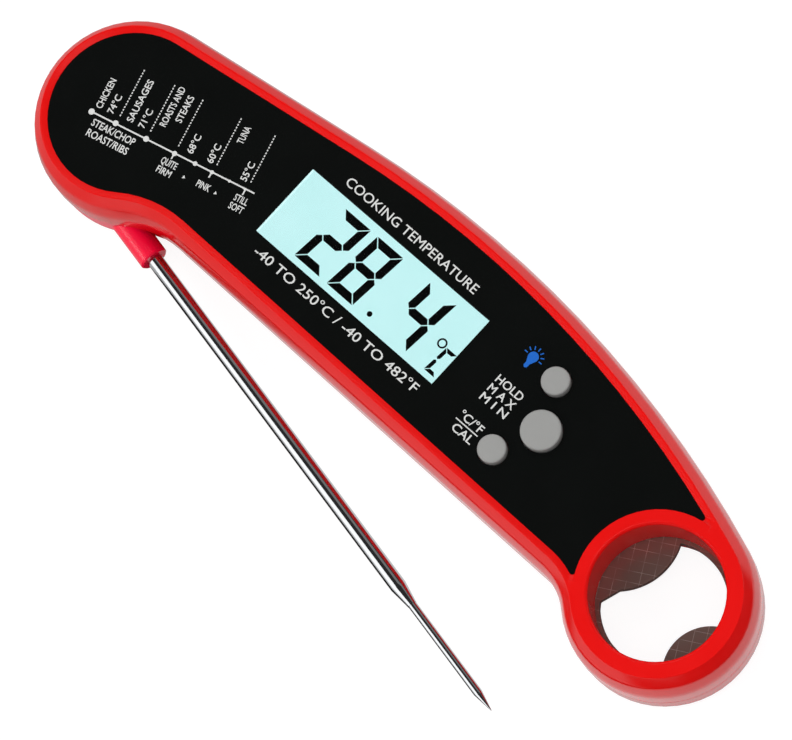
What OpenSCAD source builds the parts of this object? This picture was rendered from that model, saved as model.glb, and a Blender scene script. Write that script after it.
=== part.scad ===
// Folding meat thermometer with an opener ring.
// Millimetres. The origin is on the hinge axis, at the back face that it lies on.
// +X runs from the hinge head to the ring, +Y to the arched edge, +Z out of the face.

/* [Body outline] */
// Radius of the hinge head at the edge of the black panel
head_r = 16; // [15.4:0.1:16.6]
// Distance from the hinge axis to the ring's centre, along the body
ring_x = 139.3; // [138.3:0.1:140.3]
// Place of the ring's centre, across the body
ring_y = -2.75; // [-3.25:0.25:-2.25]
// Radius of the ring's outline at the panel's edge
ring_r = 14.4; // [14.2:0.1:14.8]
// Radius of the arched upper edge
arch_r = 219; // [210:1:230]
// Place of the arch's crest, along the body
crest_x = 69.8; // [66:0.2:74]
// Lower edge halfway along the body
low_y = -9.1; // [-9.6:0.1:-8.8]
// Slope of the lower edge, in degrees
low_a = -0.46; // [-0.8:0.02:0]
// Radius of the hollow neck behind the hinge head
neck_r = 24; // [20:0.5:28]
// Radius of the hollow throat before the ring
throat_r = 15; // [12:0.5:18]

/* [Body section] */
// Thickness of the body
body_h = 18; // [17.6:0.1:18.6]
// Height of the line where the two shells part
part_z = 8; // [7.9:0.1:8.2]
// Height of the side wall's widest line
belly_z = 12.6; // [12:0.1:13]
// Width of the slope from the bezel's ridge down to the panel
inner_bevel = 0.95; // [0.7:0.05:1.2]
// Depth of the panel below the ridge
panel_drop = 0.45; // [0.3:0.05:0.6]
// Width of the bevel outside the ridge
outer_bevel = 2.05; // [1.7:0.05:2.3]
// Height of that bevel
bevel_h = 2.1; // [1.8:0.1:2.4]
// How far the side wall flares below the bevel
flare = 0.85; // [0.5:0.05:1.1]
// Radius of the hole in the ring
ring_hole_r = 12.6; // [12.2:0.1:12.8]

/* [Face] */
// Length of the display
display_l = 46; // [42:0.5:47]
// Height of the display
display_w = 15.8; // [14:0.2:16]
// Radius of the two small keys
small_key_r = 2.75; // [2.4:0.05:3]
// Radius of the large key
large_key_r = 3.88; // [3.5:0.02:4.1]
// How far a key travels
key_travel = 0.5; // [0.3:0.05:0.5]

/* [Probe] */
// Turn of the probe at rest, in degrees from the body's length
probe_a = -10.9; // [-60:0.1:-3]
// Distance of the probe's axis from the hinge axis
probe_offset = 13.05; // [12.95:0.05:13.15]
// Height of the probe's axis over the back
probe_z = 4.6; // [4.55:0.05:4.65]
// Radius of the collar that holds the tube
collar_r = 2.85; // [2.5:0.05:2.85]
// Reach of the collar past the hinge axis
collar_reach = 22; // [21.5:0.1:23.5]
// Length of the probe outside the collar
probe_l = 110.8; // [102:0.1:111]
// Length of its narrowed end, with the taper before it
tip_l = 29.6; // [24:0.1:34]
// Length of the taper from the tube to the thin end
taper_l = 4.5; // [3:0.1:6]
// Length of the point
point_l = 4.2; // [3:0.1:6]
// Radius of the tube
tube_r = 1.58; // [1.4:0.02:1.6]
// Radius of the thin end
tip_r = 0.86; // [0.8:0.02:1]

/* [Opener] */
// Thickness of the steel plate
plate_t = 1.4; // [1.2:0.1:1.5]
// Radius of the opening in the plate
plate_hole_r = 11.8; // [11.6:0.1:12.2]
// Radius of the tongue that lifts the cap
tongue_r = 12.1; // [11:0.1:13]
// Distance of the tongue's centre from the ring's centre
tongue_d = 17.2; // [16.8:0.1:18]
// Distance of the tongue's straight shoulder from the ring's centre
shoulder_d = 6.5; // [6:0.1:8]
// Radius of the lobe that rests on the cap
lobe_r = 8.8; // [8:0.1:9.4]
// Distance of the lobe's centre from the ring's centre
lobe_d = 15.5; // [15:0.1:16.2]
// Turn of the tongue, in degrees
tongue_a = 161.8; // [150:0.2:180]
// Turn of the lobe, in degrees
lobe_a = -14.7; // [-30:0.1:0]

/* [Hidden] */
$fn = 96;

// Colours as the object shows them
red_abs = "#E3231F";
crimson_abs = "#D81038";
black_sheet = "#101211";
steel = "#B9BDC0";
brass = "#C9A85A";
rubber = "#2A2B2C";
nickel = "#8A8D90";
black_plastic = "#1B1B1D";

// Small gaps: between still pieces, and between pieces that move past each other
seat = 0.05;
run = 0.3;

// How far a cut runs past a face, how far joined solids reach into each other
over = 1;
lap = 0.2;
// How far a skin runs past the plane that cuts it flat
spare = 0.04;

// Outline offsets from the panel's edge, outwards
ridge_o = inner_bevel;
ridge_w = 0.4;
shoulder_o = ridge_o + outer_bevel;
part_o = shoulder_o + flare;
hip_o = 3.6;
back_o = 1.6;

// Heights of the section
shoulder_z = body_h - bevel_h;
hip_z = 2.4;
panel_z = body_h - panel_drop;
panel_t = 0.85;
panel_floor = panel_z - panel_t;
ceiling_t = 1.6;
ceiling_z = panel_floor - ceiling_t;

// Roundings of the section, measured along its sides
seam_round = 0.3;
belly_round = 1;
shoulder_round = 0.5;
hip_round = 1.2;
back_round = 1;

// Rounded mouths of the ring's hole, front and back
front_mouth = 0.7;
back_mouth = 1;

// Centres and angles at which the outline's arcs meet
ring_c = [ring_x, ring_y];
arch_c = [crest_x, ring_y - sqrt(pow(arch_r - ring_r, 2) - pow(ring_x - crest_x, 2))];
ring_a = atan2(ring_c.y - arch_c.y, ring_c.x - arch_c.x);
head_a = atan2(arch_c.y, arch_c.x) + acos((head_r - arch_r) / norm(arch_c));
low_u = [cos(low_a), sin(low_a)];
low_n = [sin(low_a), -cos(low_a)];
low_d = low_n * [ring_x / 2, low_y];
neck_c = low_n * (low_d + neck_r) + low_u * sqrt(pow(head_r + neck_r, 2) - pow(low_d + neck_r, 2));
neck_a = atan2(neck_c.y, neck_c.x);
throat_c = low_n * (low_d + throat_r) + low_u * (low_u * ring_c
    - sqrt(pow(ring_r + throat_r, 2) - pow(low_d + throat_r - low_n * ring_c, 2)));
throat_a = atan2(ring_c.y - throat_c.y, ring_c.x - throat_c.x);

// Points of the arch, counted along the outline, from which its ends are seen whole
cap_a = 40;
cap_b = 46;

// The panel stops at the ring's rim, with two rounded horns
rim_r = ring_r + ridge_o;
horn_r = 0.6;

// Display, keys and their places on the face
display_c = [58.3, 6.85];
light_key = [[98.75, 14.2], small_key_r];
hold_key = [[103, 5.6], large_key_r];
unit_key = [[98.5, -2.85], small_key_r];
keys = [light_key, hold_key, unit_key];
key_rise = 1.5;
key_gap = 0.2;
key_flange = 0.9;

// Display stack: lap of the glass under the panel, ledge for the connector
glass_lap = 0.7;
glass_room = 0.9;
glass_cut = 2.9;
glass_t = 1;
lcd_mid = panel_floor - glass_t;
lcd_z = lcd_mid - glass_t;
connector_w = 1.8;

// Hinge: hub, the room it turns in, the post it turns on
hub_r = 15.2;
pocket_r = 15.6;
bay_z = 1.4;
hub_z = bay_z + run;
hub_top = part_z - run;
post_r = 5;
post_z = 1;
post_fit = 0.06;
seal_r = 0.42;
seal_groove_r = 0.5;
seal_mid_r = 4.6;
pivot_r = 1.45;
pivot_head_r = 2.9;
pivot_z = 2.8;
pivot_head_z = ceiling_z - lap;
open_x = 1.2;
far = 40;

// Angle of the folded probe, and the room it has in the side: past the collar, round the tube,
// round and past the thin end, and where the groove narrows
fold_a = -1.4;
collar_end_room = 2;
tube_room = 0.45;
tip_room = 0.4;
end_room = 0.7;
groove_x = ring_x - 15;

// The hub's rim, which closes the side wall behind the collar: radius and the angles where it ends
rim_wall_r = 19.6;
rim_wall_a = [-86, -25];

// Wire chamber and magnet in the hub
chamber_r = [6, 10];
chamber_drop = 0.9;
lead_x = 3;
lead_hole_r = 0.8;
hub_magnet_at = [12.6, 3];
hub_magnet_r = 1.5;

// Hollow under the panel, round the hinge's screw
core_r = [5.2, 13.4];
core_z = part_z + 3;

// Inside
floor_z = 2;
cavity_o = 1.65;
cavity_low = -8;
hinge_wall_r = pocket_r + 2;
ring_wall_r = 19.5;
cavity_x = [9, 128];
board_z = 11;
board_t = 1.2;
board_top = board_z + board_t;
board_edge = [[31, -7], [108.5, -7], [108.5, 15.5], [105, 19.8], [36, 19.8], [31, 17.5]];
switch_top = board_top + 1.1;
chip_at = [97, 6];
reed_at = [34, 0];
board_posts = [[88, 18.4], [89, -4.6], [107, 13.2]];
board_post_r = 1.9;
board_thread_r = 0.7;
board_head_r = 1.5;
magnet_places = [[40.5, 7.5], [93, 6.5]];
magnet_r = 6;
magnet_t = 2;
magnet_z = 0.85;

// Shell screws, put in from the back
shell_screws = [[26, 12.8], [26, -4], [113, 13], [113, -4.4]];
shell_thread_r = 1.2;
shell_head_r = 2.2;
shell_head_z = 4.4;
shell_sink_r = 2.5;
shell_sink_z = 6;
shell_boss_r = 3.2;

// Gasket between the shells: groove outside the hollow
gasket_out = [0.4, 1.1];
gasket_depth = 0.45;

// Wires from the board to the hub
harness_x = [7.6, 31.6];
harness_y = 1.2;
harness_pitch = 1.2;
harness_z = part_z + 1;
harness_room = [14, 2.8, 2.8];

// Opener plate's seat and its two pegs
plate_r = 15.9;
plate_z = part_z - lap - plate_t;
peg_r = 0.8;
peg_d = 14.1;
peg_turns = [70, 250];

// Battery and its door
battery_c = [65, 5.5];
cell_r = 10;
cell_h = 3.2;
cell_z = 3.5;
cell_room = 0.45;
cell_top = cell_z + cell_h;
door_r = 12;
lug_r = 13.4;
lug_z = 1.25;
lug_half_a = 12;
lug_play_a = 3;
lug_count = 3;
door_z = 0.25;
door_top = 2.25;
door_plug_r = cell_r - 0.3;
door_seal_r = 10.6;
lug_turn = 45;
strip_t = 0.3;
strip_w = 4;

// The probe's length: ends of the collar, tube and point
tip_end = collar_reach + probe_l;
taper_x = tip_end - tip_l;
tip_x = taper_x + taper_l;
tube_x = 6;
tube_bore_r = 1.2;
tip_wall = 0.22;
tip_lap = 2;
bead_r = 0.6;
bead_x = tip_end - point_l - 2;

function polar(a) = [cos(a), sin(a)];

// Points of an arc; the first is left out where the arc before it ends there
function arc(c, r, a0, a1, n, first = 0) =
    [for (i = [first:n]) c + r * polar(a0 + (a1 - a0) * i / n)];

// Where two circles cross, on one side of the line between their centres
function meet(c1, r1, c2, r2, side) =
    let (d = c2 - c1)
    let (l = norm(d))
    let (a = (l * l + r1 * r1 - r2 * r2) / (2 * l))
    c1 + d * a / l + side * sqrt(r1 * r1 - a * a) * [-d.y, d.x] / l;

// Three points that round the corner c between a and b
function soft_corner(a, c, b, t) =
    let (u = (a - c) / norm(a - c))
    let (v = (b - c) / norm(b - c))
    [c + u * t, c + (u + v) * t / 4, c + v * t];

// The body's outline, a closed run of tangent arcs, o outside the panel's edge
function outline(o) = concat(
    arc(throat_c, throat_r - o, low_a + 90, throat_a, 7),
    arc(ring_c, ring_r + o, throat_a - 180, ring_a, 29, 1),
    arc(arch_c, arch_r + o, ring_a, head_a, 14, 1),
    arc([0, 0], head_r + o, head_a, neck_a + 360, 31),
    arc(neck_c, neck_r - o, neck_a + 180, low_a + 90, 6, 1));

// The panel's outline: the same, but hollowed by the ring's rim
function panel_outline(o, rim) =
    let (low_horn = meet(throat_c, throat_r - o + horn_r, ring_c, rim + horn_r, 1))
    let (top_horn = meet(arch_c, arch_r + o - horn_r, ring_c, rim + horn_r, 1))
    let (low_a0 = atan2(low_horn.y - throat_c.y, low_horn.x - throat_c.x))
    let (low_a1 = atan2(ring_c.y - low_horn.y, ring_c.x - low_horn.x))
    let (top_a0 = atan2(ring_c.y - top_horn.y, ring_c.x - top_horn.x))
    let (top_a1 = atan2(top_horn.y - arch_c.y, top_horn.x - arch_c.x))
    concat(
        arc(throat_c, throat_r - o, low_a + 90, low_a0, 3),
        arc(low_horn, horn_r, low_a0 - 180, low_a1, 7, 1),
        arc(ring_c, rim, low_a1 + 180, top_a0 + 180, 18, 1),
        arc(top_horn, horn_r, top_a0, top_a1, 8, 1),
        arc(arch_c, arch_r + o, top_a1, head_a, 14, 1),
        arc([0, 0], head_r + o, head_a, neck_a + 360, 31),
        arc(neck_c, neck_r - o, neck_a + 180, low_a + 90, 6, 1));

// Two polygons that close a ring of n points; each is seen whole from its first and last point, on the arch
function cap(n) = [concat([cap_a], [for (i = [0:cap_a - 1]) i]),
                   concat([for (i = [cap_b:n - 1]) i], [0], [for (i = [cap_a:cap_b - 1]) i])];

// A closed skin through rings of points, one ring at each height
module loft(rings, heights) {
    n = len(rings[0]);
    last = len(rings) - 1;
    points = [for (k = [0:last]) for (p = rings[k]) [p.x, p.y, heights[k]]];
    sides = [for (k = [0:last - 1]) for (i = [0:n - 1])
        let (j = (i + 1) % n)
        each [[k * n + i, k * n + n + i, k * n + n + j], [k * n + i, k * n + n + j, k * n + j]]];
    top = [for (f = cap(n)) [for (i = [len(f) - 1:-1:0]) last * n + f[i]]];
    polyhedron(points = points, faces = concat(cap(n), top, sides));
}

// All that lies between two heights
module slab(z0, z1) {
    translate([-far, -far, z0])
        cube([ring_x + 2 * far, 2 * far, z1 - z0]);
}

// A shell's skin from its section, pairs of outline offset and height, cut flat at both ends
module shell_skin(section, z0, z1) {
    intersection() {
        loft([for (s = section) outline(s.x)], [for (s = section) s.y]);
        slab(z0, z1);
    }
}

// Recess for the panel: straight up to the panel's face, then the bezel's inner slope
module panel_recess() {
    section = [[0, panel_floor - spare], [0, panel_z], [inner_bevel, body_h], [inner_bevel, body_h + over]];
    intersection() {
        loft([for (s = section) panel_outline(s.x, rim_r)], [for (s = section) s.y]);
        slab(panel_floor, body_h + over / 2);
    }
}

module drill(at, r, z0, z1) {
    translate([at.x, at.y, z0])
        cylinder(r = r, h = z1 - z0);
}

module tube(at, r_out, r_in, z0, z1) {
    difference() {
        drill(at, r_out, z0, z1);
        drill(at, r_in, z0 - over, z1 + over);
    }
}

module plate(centre, size, z0, z1) {
    translate([centre.x - size.x / 2, centre.y - size.y / 2, z0])
        cube([size.x, size.y, z1 - z0]);
}

// A ring with a round section
module o_ring(r_mid, r_section, z) {
    translate([0, 0, z])
        rotate_extrude()
            translate([r_mid, 0])
                circle(r = r_section);
}

// The hollow that the two shells share, seen in plan
module cavity_plan(grow = 0) {
    difference() {
        intersection() {
            polygon(outline(cavity_o + grow));
            translate([cavity_x[0] - grow, cavity_low - grow])
                square([cavity_x[1] - cavity_x[0], 2 * far]);
        }
        circle(r = hinge_wall_r - grow);
        translate(ring_c)
            circle(r = ring_wall_r - grow);
    }
}

module cavity(z0, z1) {
    translate([0, 0, z0])
        linear_extrude(z1 - z0)
            cavity_plan();
}

module panel_prism(o, rim, z0, z1) {
    translate([0, 0, z0])
        linear_extrude(z1 - z0)
            polygon(panel_outline(o, rim));
}

// Hole through the ring, with a rounded mouth at one face
module ring_hole(z_in, z_mouth, round_r) {
    way = sign(z_mouth - z_in);
    step_a = 15;
    edge = [for (a = [0:step_a:90]) [ring_hole_r + round_r * (1 - cos(a)),
                                     z_mouth - way * round_r * (1 - sin(a))]];
    translate([ring_c.x, ring_c.y, 0])
        rotate_extrude()
            polygon(concat([[0, z_in], [ring_hole_r, z_in]], edge,
                           [[ring_hole_r + round_r, z_mouth + way], [0, z_mouth + way]]));
}

// Front shell: bezel, ledge for the panel, hollow for the display and board, roof over the hinge
module front_housing() {
    low = part_z - spare;
    high = body_h + spare;
    crest_o = ridge_o + ridge_w;
    skin = concat(
        soft_corner([0, low], [part_o, low], [part_o, belly_z], seam_round),
        soft_corner([part_o, low], [part_o, belly_z], [shoulder_o, shoulder_z], belly_round),
        soft_corner([part_o, belly_z], [shoulder_o, shoulder_z], [crest_o, high], shoulder_round),
        soft_corner([shoulder_o, shoulder_z], [crest_o, high], [0, high], ridge_w / 2));
    color(red_abs)
        difference() {
            union() {
                difference() {
                    shell_skin(skin, part_z, body_h);
                    panel_recess();
                    cavity(part_z - over, ceiling_z);
                }
                for (at = shell_screws)
                    drill(at, shell_boss_r - lap, part_z, ceiling_z + lap);
                for (at = board_posts)
                    drill(at, board_post_r, board_top + seat, ceiling_z + lap);
            }
            plate(display_c, [display_l, display_w] + 2 * glass_room * [1, 1], ceiling_z - over, body_h);
            key_holes(ceiling_z - over, body_h);
            for (at = shell_screws)
                drill(at, shell_thread_r + seat, part_z - over, ceiling_z - lap);
            for (at = board_posts)
                drill(at, board_thread_r + seat, part_z - over, ceiling_z - 2 * lap);
            drill([0, 0], pivot_r + 3 * seat, part_z - over, body_h);
            drill([0, 0], pivot_head_r + lap, pivot_head_z, body_h);
            tube([0, 0], core_r[1], core_r[0], core_z, body_h);
            translate([harness_x[0] - over, harness_y - harness_room.y / 2, part_z - over])
                cube(harness_room);
            ring_hole(part_z - over, body_h, front_mouth);
        }
}

// Holes that the three keys stand in
module key_holes(z0, z1) {
    for (k = keys)
        drill(k[0], k[1] + key_gap, z0, z1);
}

// Folded probe's axis at a place along the body
function fold_y(x) = -probe_offset / cos(fold_a) + x * tan(fold_a);

// Room for the hub, for the sweep of its collar and rim, and for the folded probe
module hinge_bay() {
    collar_room = collar_r + run;
    collar_x = collar_reach + collar_end_room;
    drill([0, 0], pocket_r, bay_z, part_z + over);
    translate([0, 0, bay_z])
        linear_extrude(part_z + over - bay_z)
            polygon([[-far, -far], [collar_x, -far], [collar_x, fold_y(collar_x) + collar_room],
                     [open_x, fold_y(open_x) + collar_room], [open_x, far], [-far, far]]);
    groove(collar_x - over, groove_x, tube_r + tube_room);
    groove(groove_x - over, tip_end + end_room, tip_r + tip_room);
}

// Side groove that is open downwards, half its height above and below the probe's axis
module groove(x0, x1, half) {
    translate([0, 0, probe_z - half])
        linear_extrude(2 * half)
            polygon([[x0, -far], [x1, -far], [x1, fold_y(x1) + half], [x0, fold_y(x0) + half]]);
}

// Door opening with three entry notches and the groove that the lugs turn in
module door_opening() {
    translate([battery_c.x, battery_c.y, 0]) {
        translate([0, 0, -over])
            cylinder(r = door_r + run, h = cell_z + over - lap);
        translate([0, 0, lug_z - lap - seat])
            cylinder(r = lug_r + run, h = door_top - lug_z + run + lap + seat);
        for (i = [1:lug_count])
            rotate([0, 0, i * 360 / lug_count + lug_turn])
                door_lug(lug_r + run, lug_half_a + lug_play_a, -over, lug_z);
        translate([0, 0, cell_z - over])
            cylinder(r = cell_r + cell_room, h = part_z);
    }
}

// One bayonet lug: a sector of the given half width, from inside the door's rim
module door_lug(r, half_a, z0, z1) {
    inside = door_r - 4;
    outside = door_r + 10;
    translate([0, 0, z0])
        linear_extrude(z1 - z0)
            intersection() {
                circle(r = r);
                polygon([polar(half_a) * inside, polar(half_a) * outside,
                         polar(-half_a) * outside, polar(-half_a) * inside]);
            }
}

// Rear shell: floor, hinge post, battery well, seat of the opener plate
module rear_cover() {
    hip = [hip_o, hip_z];
    high = part_z + spare;
    well_r = lug_r + 2.4;
    strip_room = [1, strip_w + 2 * run];
    strip_c = battery_c + [cell_r + strip_room.x / 2 - strip_t / 2, 0];
    skin = concat(
        soft_corner([0, -spare], [back_o, -spare], hip, back_round),
        soft_corner([back_o, -spare], hip, [part_o, high], hip_round),
        soft_corner(hip, [part_o, high], [0, high], seam_round));
    color(red_abs)
        difference() {
            union() {
                difference() {
                    union() {
                        difference() {
                            shell_skin(skin, 0, part_z);
                            cavity(floor_z, part_z + over);
                        }
                        drill(battery_c, well_r, floor_z / 4, cell_z + run);
                        tube(battery_c, cell_r + 2, cell_r, floor_z / 2, cell_top);
                        for (at = shell_screws)
                            drill(at, shell_boss_r, floor_z / 4, part_z);
                    }
                    hinge_bay();
                    door_opening();
                }
                drill([0, 0], post_r, post_z, part_z);
            }
            for (at = shell_screws) {
                drill(at, shell_sink_r, -over, shell_sink_z);
                drill(at, shell_thread_r + 3 * seat, shell_sink_z - over, part_z + over);
            }
            for (at = magnet_places)
                drill(at, magnet_r + 2 * seat, magnet_z - seat, floor_z + over);
            drill([0, 0], pivot_r + seat, pivot_z - 2 * lap, part_z + over);
            o_ring(seal_mid_r, seal_groove_r, probe_z);
            translate([0, 0, part_z - gasket_depth])
                linear_extrude(over)
                    difference() {
                        cavity_plan(gasket_out[1]);
                        cavity_plan(gasket_out[0]);
                    }
            difference() {
                drill(ring_c, plate_r + 2 * seat, plate_z, part_z + over);
                plate_pegs(peg_r);
            }
            ring_hole(part_z + over, 0, back_mouth);
            plate(strip_c, strip_room, cell_z - lap, part_z + over);
        }
}

// Two pegs that keep the opener plate from turning
module plate_pegs(r) {
    for (a = peg_turns)
        drill(ring_c + peg_d * polar(a), r, plate_z - 2 * seat, plate_z + plate_t - lap);
}

// Steel opener: a washer with a shouldered tongue and a lobe left standing in its opening
module opener_plate() {
    color(steel)
        difference() {
            drill(ring_c, plate_r, plate_z, plate_z + plate_t);
            translate([ring_c.x, ring_c.y, plate_z - over])
                linear_extrude(plate_t + 2 * over)
                    difference() {
                        circle(r = plate_hole_r);
                        translate(tongue_d * polar(tongue_a))
                            circle(r = tongue_r);
                        rotate([0, 0, tongue_a])
                            translate([shoulder_d, 0])
                                square(plate_hole_r);
                        translate(lobe_d * polar(lobe_a))
                            circle(r = lobe_r);
                    }
            plate_pegs(peg_r + 2 * seat);
        }
}

// Black front sheet with the window opening and three key holes
module front_panel() {
    color(black_sheet)
        difference() {
            panel_prism(-seat, rim_r + seat, panel_floor, panel_z);
            plate(display_c, [display_l, display_w], panel_floor - over, panel_z + over);
            key_holes(panel_floor - over, panel_z + over);
        }
}

module display_window() {
    color("#D5EFEF", 0.5)
        plate(display_c, [display_l, display_w] - 2 * seat * [1, 1], panel_floor, panel_z - seat);
}

// Glass sandwich; the rear glass is cut back where the connector presses on the front glass
module lcd_cell() {
    size = [display_l, display_w] + 2 * glass_lap * [1, 1];
    color("#C8F6F4") {
        plate(display_c, size, lcd_mid, panel_floor - 2 * seat);
        plate(display_c + [0, glass_cut / 2], size - [0, glass_cut], lcd_z, lcd_mid);
    }
}

// Backlight plate: a clear wedge under the glass, beside the connector
module light_guide() {
    inset = 1;
    length = display_l - inset - 0.4;
    breadth = display_w - connector_w - 0.8;
    thick = lcd_z - board_top - 2 * seat;
    thin = thick - 0.5;
    color("#F2F6F2")
        translate([display_c.x - display_l / 2 + inset, display_c.y + display_w / 2, board_top + seat])
            rotate([90, 0, 0])
                linear_extrude(breadth)
                    polygon([[0, 0], [length, 0], [length, thin], [0, thick]]);
}

// Two small lamps that shine into the thick end of the light guide
module backlight_leds() {
    size = [1, 2.4];
    height = 1;
    pitch = 7;
    middle = display_c + [0.3 - display_l / 2, 1];
    color("#F7F3D8")
        for (side = [-1, 1])
            plate(middle + [0, side * pitch / 2], size, board_top, board_top + height);
}

// Frame round the glass
module lcd_holder() {
    frame_w = 1.7;
    inside = [display_l, display_w] + 2 * (glass_lap + 2 * seat) * [1, 1];
    color("white")
        difference() {
            plate(display_c, inside + 2 * frame_w * [1, 1], board_top, ceiling_z - seat);
            plate(display_c, inside, board_top - over, ceiling_z + over);
        }
}

// Rubber strip that joins the board's contacts to the front glass
module elastomer_connector() {
    margin = 1;
    color("#C9A6A6")
        plate([display_c.x, display_c.y - display_w / 2 + connector_w / 2],
              [display_l - 2 * margin, connector_w], board_top, lcd_mid);
}

// Circuit board, with one corner cut back beside the arched edge
module main_board() {
    color("#1F6B3A")
        difference() {
            translate([0, 0, board_z])
                linear_extrude(board_t)
                    polygon(board_edge);
            for (at = board_posts)
                drill(at, board_thread_r + 5 * seat, board_z - over, board_top + over);
        }
}

module controller_chip() {
    side = 9;
    height = 1.4;
    color(black_plastic)
        plate(chip_at, [side, side], board_z - height, board_z);
}

// One switch under each key
module tact_switches() {
    side = 3.6;
    height = 0.8;
    plunger_r = 0.9;
    color("#77797C")
        for (k = keys)
            union() {
                plate(k[0], [side, side], board_top, board_top + height);
                drill(k[0], plunger_r, board_top + height - lap, switch_top);
            }
}

module board_screws() {
    head_t = 1;
    color(steel)
        for (at = board_posts)
            union() {
                drill(at, board_head_r, board_z - head_t, board_z);
                drill(at, board_thread_r, board_z - lap, ceiling_z - 3 * lap);
            }
}

// Glass switch that the hub's magnet works when the probe swings out
module reed_switch() {
    glass_r = 1.1;
    length = 11;
    color("#8FB7A6")
        translate([reed_at.x, reed_at.y, board_z - glass_r - 2 * seat])
            rotate([-90, 0, 0])
                cylinder(r = glass_r, h = length);
}

// Two wires from the board, over the hinge wall and down into the hub's wire chamber
module lead_harness() {
    wire_r = 0.35;
    bend_r = 1.2;
    drop = 3;
    color("#C43A2F")
        for (side = [-1, 1])
            translate([0, harness_y + side * harness_pitch / 2, 0]) {
                drill([harness_x[0], 0], wire_r, harness_z - drop, harness_z - bend_r);
                translate([harness_x[0] + bend_r, 0, harness_z - bend_r])
                    rotate([90, 0, 180])
                        wire_bend(wire_r, bend_r);
                translate([harness_x[0] + bend_r, 0, harness_z])
                    rotate([0, 90, 0])
                        cylinder(r = wire_r, h = harness_x[1] - harness_x[0] - 2 * bend_r);
                translate([harness_x[1] - bend_r, 0, harness_z + bend_r])
                    rotate([90, 90, 0])
                        wire_bend(wire_r, bend_r);
                drill([harness_x[1], 0], wire_r, harness_z + bend_r, board_z);
            }
}

// A quarter turn of round wire
module wire_bend(wire_r, bend_r) {
    rotate_extrude(angle = 90)
        translate([bend_r, 0])
            circle(r = wire_r);
}

// Coin cell: can with a rounded edge and a smaller raised face
module coin_cell() {
    edge = 0.4;
    step = 0.4;
    face_r = cell_r - 1.6;
    color("#C8CBCE")
        translate([battery_c.x, battery_c.y, cell_z])
            rotate_extrude()
                polygon([[0, 0], [cell_r - edge, 0], [cell_r, edge], [cell_r, cell_h - step - edge],
                         [cell_r - edge, cell_h - step], [face_r, cell_h - step],
                         [face_r, cell_h], [0, cell_h]]);
}

// Angled strip: up the cell's side, with a foot under the board
module contact_positive() {
    foot_l = 3;
    strip_x = battery_c.x + cell_r + seat;
    color(brass) {
        plate([strip_x + strip_t / 2, battery_c.y], [strip_t, strip_w], cell_z, board_z);
        plate([strip_x + strip_t + foot_l / 2, battery_c.y], [foot_l, strip_w], board_z - strip_t, board_z);
    }
}

// Spring blade: pad on the board, slanting blade, pad on the cell's face
module contact_negative() {
    low = cell_top + seat;
    high = board_z - strip_t;
    pad = [-4, 3];
    foot = [8, 11];
    color(brass)
        translate([battery_c.x, battery_c.y - strip_w / 2, 0])
            rotate([90, 0, 180])
                linear_extrude(strip_w)
                    polygon([[pad[0], low], [pad[1], low], [foot[0], high], [foot[1], high],
                             [foot[1], board_z], [foot[0] - lap, board_z], [pad[1] - lap, low + strip_t],
                             [pad[0], low + strip_t]]);
}

// Flat cord in the groove of the rear shell's edge
module housing_gasket() {
    color(rubber)
        translate([0, 0, part_z - gasket_depth + seat / 2])
            linear_extrude(gasket_depth - seat)
                difference() {
                    cavity_plan(gasket_out[1] - seat);
                    cavity_plan(gasket_out[0] + seat);
                }
}

module housing_screws() {
    color(steel)
        for (at = shell_screws)
            union() {
                drill(at, shell_head_r, shell_head_z, shell_sink_z);
                drill(at, shell_thread_r, shell_sink_z - 2 * lap, ceiling_z - 2 * lap);
            }
}

// Flat magnets that hold the back to a steel door
module back_magnets() {
    color(nickel)
        for (at = magnet_places)
            drill(at, magnet_r, magnet_z, magnet_z + magnet_t);
}

// Screw through the roof into the hinge post
module pivot_screw() {
    color(steel)
        union() {
            drill([0, 0], pivot_head_r, pivot_head_z, panel_floor - 2 * seat);
            drill([0, 0], pivot_r, pivot_z, pivot_head_z + lap);
        }
}

// Slip washer between hub and roof
module pivot_washer() {
    washer_r = [10.6, 14.2];
    color("#D9DADB")
        tube([0, 0], washer_r[1], washer_r[0], hub_top + post_fit, part_z - seat / 2);
}

// Ring in the post's groove
module pivot_seal() {
    color(rubber)
        o_ring(seal_mid_r - seat, seal_r, probe_z);
}

// Everything below turns with the probe; x runs along the probe
module on_probe() {
    rotate([0, 0, probe_a])
        children();
}

module along_probe(r, x0, x1) {
    translate([x0, -probe_offset, probe_z])
        rotate([0, 90, 0])
            cylinder(r = r, h = x1 - x0);
}

// A turned shape round the probe's axis, from pairs of radius and place along it
module turned_probe(section) {
    translate([0, -probe_offset, probe_z])
        rotate([90, 0, 90])
            rotate_extrude()
                polygon(section);
}

// Hub: disc with softened edges and a rim, collar with a chamfered mouth, room for the leads
module probe_hub() {
    edge = 0.5;
    mouth = 0.3;
    tube_fit = 0.02;
    color(crimson_abs)
        on_probe()
            difference() {
                union() {
                    rotate_extrude()
                        polygon([[0, hub_z], [hub_r - edge, hub_z], [hub_r, hub_z + edge],
                                 [hub_r, hub_top - edge], [hub_r - edge, hub_top], [0, hub_top]]);
                    hub_rim();
                    turned_probe([[0, 0], [collar_r, 0], [collar_r, collar_reach - mouth],
                                  [collar_r - mouth, collar_reach], [0, collar_reach]]);
                }
                drill([0, 0], post_r + post_fit, 0, part_z);
                tube([0, 0], chamber_r[1], chamber_r[0], probe_z - chamber_drop, part_z);
                along_probe(tube_r + tube_fit, lead_x - over, collar_reach + over);
                translate([lead_x, -probe_offset, probe_z])
                    rotate([-90, 0, 0])
                        cylinder(r = lead_hole_r, h = probe_offset - chamber_r[1] + over);
                drill(hub_magnet_at, hub_magnet_r + seat, probe_z, part_z);
            }
}

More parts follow.
